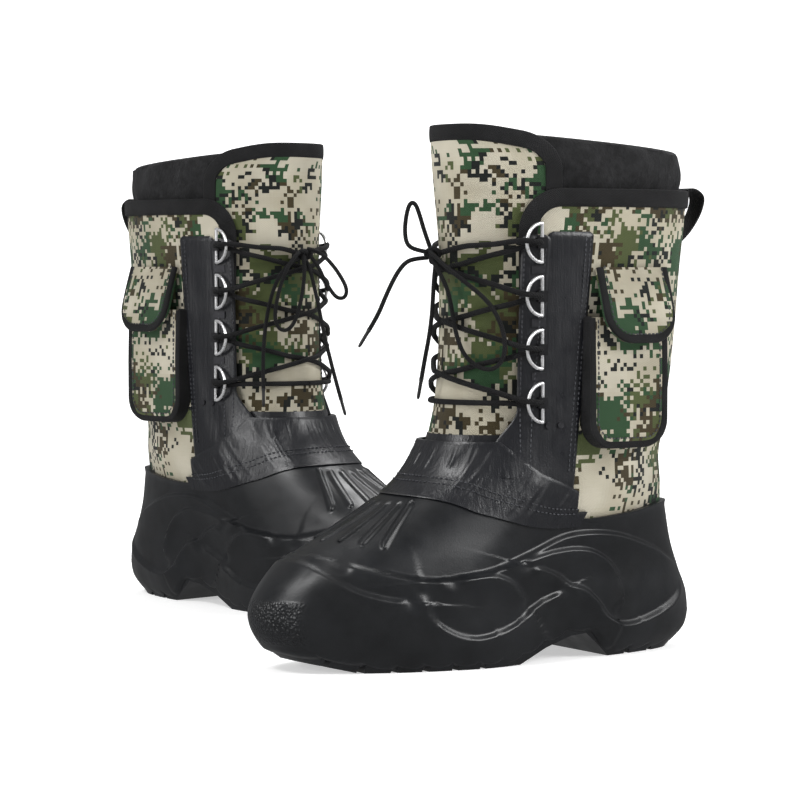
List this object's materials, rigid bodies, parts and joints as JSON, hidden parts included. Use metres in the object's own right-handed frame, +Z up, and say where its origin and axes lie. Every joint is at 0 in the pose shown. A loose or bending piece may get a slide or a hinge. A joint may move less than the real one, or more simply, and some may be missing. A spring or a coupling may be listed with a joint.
{
  "type": "pair of insulated hunting boots",
  "caption": "Pair of tall insulated winter boots: moulded waterproof foot, laced camouflage shaft with cargo pocket, pull loop and raised fleece liner.",
  "frame": {"origin": "centre of the pair's bounding box without the free laces, on the ground", "axes": "+Z up; the boots stand side by side along X, toes converging towards -Y, the left boot at +X and in front"},
  "size_m": [0.4032, 0.5255, 0.334],
  "materials": {
    "moulded_rubber": "satin moulded foam rubber",
    "felt": "felt",
    "fleece": "brushed fleece",
    "camouflage_cloth": "ribbed oxford weave in a blocky green, sand and dark pattern",
    "binding_tape": "woven tape",
    "black_leather": "semi-gloss creased",
    "clip_metal": "black painted",
    "ring_steel": "polished",
    "webbing": "woven",
    "lace_cord": "braided",
    "aglet_plastic": "plain tip"
  },
  "bodies": {
    "boots": {"left_outsole": "moulded_rubber", "left_foot_shell": "moulded_rubber", "left_footbed": "felt", "left_liner": "fleece", "left_outer_quarter": "camouflage_cloth", "left_inner_quarter": "camouflage_cloth", "left_collar_binding": "binding_tape", "left_tongue": "camouflage_cloth", "left_tongue_binding": "binding_tape", "left_vamp": "black_leather", "left_eyestays": "black_leather", "left_ring_clips": "clip_metal", "left_rivets": "ring_steel", "left_pull_tab": "webbing", "left_pocket": "camouflage_cloth", "left_lace": "lace_cord", "left_aglets": "aglet_plastic", "left_bow_loop_a": "lace_cord", "left_bow_loop_b": "lace_cord", "left_lace_end_a": "lace_cord", "left_lace_end_b": "lace_cord", "right_outsole": "moulded_rubber", "right_foot_shell": "moulded_rubber", "right_footbed": "felt", "right_liner": "fleece", "right_outer_quarter": "camouflage_cloth", "right_inner_quarter": "camouflage_cloth", "right_collar_binding": "binding_tape", "right_tongue": "camouflage_cloth", "right_tongue_binding": "binding_tape", "right_vamp": "black_leather", "right_eyestays": "black_leather", "right_ring_clips": "clip_metal", "right_rivets": "ring_steel", "right_pull_tab": "webbing", "right_pocket": "camouflage_cloth", "right_lace": "lace_cord", "right_aglets": "aglet_plastic", "right_bow_loop_a": "lace_cord", "right_bow_loop_b": "lace_cord", "right_lace_end_a": "lace_cord", "right_lace_end_b": "lace_cord"},
    "left_flap": {"left_pocket_flap": "camouflage_cloth"},
    "left_outer_ring_1": {"left_outer_ring_1": "ring_steel"},
    "left_outer_ring_2": {"left_outer_ring_2": "ring_steel"},
    "left_outer_ring_3": {"left_outer_ring_3": "ring_steel"},
    "left_outer_ring_4": {"left_outer_ring_4": "ring_steel"},
    "left_inner_ring_1": {"left_inner_ring_1": "ring_steel"},
    "left_inner_ring_2": {"left_inner_ring_2": "ring_steel"},
    "left_inner_ring_3": {"left_inner_ring_3": "ring_steel"},
    "left_inner_ring_4": {"left_inner_ring_4": "ring_steel"},
    "right_flap": {"right_pocket_flap": "camouflage_cloth"},
    "right_outer_ring_1": {"right_outer_ring_1": "ring_steel"},
    "right_outer_ring_2": {"right_outer_ring_2": "ring_steel"},
    "right_outer_ring_3": {"right_outer_ring_3": "ring_steel"},
    "right_outer_ring_4": {"right_outer_ring_4": "ring_steel"},
    "right_inner_ring_1": {"right_inner_ring_1": "ring_steel"},
    "right_inner_ring_2": {"right_inner_ring_2": "ring_steel"},
    "right_inner_ring_3": {"right_inner_ring_3": "ring_steel"},
    "right_inner_ring_4": {"right_inner_ring_4": "ring_steel"}
  },
  "joints": [
    {"name": "left_flap_hinge", "type": "hinge", "parent": "boots", "child": "left_flap", "pos_m": [0.15265, -0.16848, 0.245], "axis": [-0.8115, -0.5843, 0], "range_deg": [0, 140]},
    {"name": "left_outer_ring_1_swing", "type": "hinge", "parent": "boots", "child": "left_outer_ring_1", "pos_m": [0.09499, -0.1991, 0.261], "axis": [0, 0, 1], "range_deg": [0, 35]},
    {"name": "left_outer_ring_2_swing", "type": "hinge", "parent": "boots", "child": "left_outer_ring_2", "pos_m": [0.09513, -0.19928, 0.228], "axis": [0, 0, 1], "range_deg": [0, 35]},
    {"name": "left_outer_ring_3_swing", "type": "hinge", "parent": "boots", "child": "left_outer_ring_3", "pos_m": [0.09522, -0.19934, 0.195], "axis": [0, 0, 1], "range_deg": [0, 35]},
    {"name": "left_outer_ring_4_swing", "type": "hinge", "parent": "boots", "child": "left_outer_ring_4", "pos_m": [0.09554, -0.19965, 0.162], "axis": [0, 0, 1], "range_deg": [0, 35]},
    {"name": "left_inner_ring_1_swing", "type": "hinge", "parent": "boots", "child": "left_inner_ring_1", "pos_m": [0.04641, -0.11427, 0.261], "axis": [0, 0, -1], "range_deg": [0, 35]},
    {"name": "left_inner_ring_2_swing", "type": "hinge", "parent": "boots", "child": "left_inner_ring_2", "pos_m": [0.04632, -0.11406, 0.228], "axis": [0, 0, -1], "range_deg": [0, 35]},
    {"name": "left_inner_ring_3_swing", "type": "hinge", "parent": "boots", "child": "left_inner_ring_3", "pos_m": [0.04631, -0.11394, 0.195], "axis": [0, 0, -1], "range_deg": [0, 35]},
    {"name": "left_inner_ring_4_swing", "type": "hinge", "parent": "boots", "child": "left_inner_ring_4", "pos_m": [0.04621, -0.11351, 0.162], "axis": [0, 0, -1], "range_deg": [0, 35]},
    {"name": "right_flap_hinge", "type": "hinge", "parent": "boots", "child": "right_flap", "pos_m": [-0.17332, 0.16404, 0.245], "axis": [-0.6421, 0.7666, 0], "range_deg": [0, 140]},
    {"name": "right_outer_ring_1_swing", "type": "hinge", "parent": "boots", "child": "right_outer_ring_1", "pos_m": [-0.12501, 0.12013, 0.261], "axis": [0, 0, -1], "range_deg": [0, 35]},
    {"name": "right_outer_ring_2_swing", "type": "hinge", "parent": "boots", "child": "right_outer_ring_2", "pos_m": [-0.12518, 0.11999, 0.228], "axis": [0, 0, -1], "range_deg": [0, 35]},
    {"name": "right_outer_ring_3_swing", "type": "hinge", "parent": "boots", "child": "right_outer_ring_3", "pos_m": [-0.12529, 0.11995, 0.195], "axis": [0, 0, -1], "range_deg": [0, 35]},
    {"name": "right_outer_ring_4_swing", "type": "hinge", "parent": "boots", "child": "right_outer_ring_4", "pos_m": [-0.12568, 0.11973, 0.162], "axis": [0, 0, -1], "range_deg": [0, 35]},
    {"name": "right_inner_ring_1_swing", "type": "hinge", "parent": "boots", "child": "right_inner_ring_1", "pos_m": [-0.05698, 0.19034, 0.261], "axis": [0, 0, 1], "range_deg": [0, 35]},
    {"name": "right_inner_ring_2_swing", "type": "hinge", "parent": "boots", "child": "right_inner_ring_2", "pos_m": [-0.05683, 0.19052, 0.228], "axis": [0, 0, 1], "range_deg": [0, 35]},
    {"name": "right_inner_ring_3_swing", "type": "hinge", "parent": "boots", "child": "right_inner_ring_3", "pos_m": [-0.0568, 0.19063, 0.195], "axis": [0, 0, 1], "range_deg": [0, 35]},
    {"name": "right_inner_ring_4_swing", "type": "hinge", "parent": "boots", "child": "right_inner_ring_4", "pos_m": [-0.05659, 0.19102, 0.162], "axis": [0, 0, 1], "range_deg": [0, 35]}
  ]
}
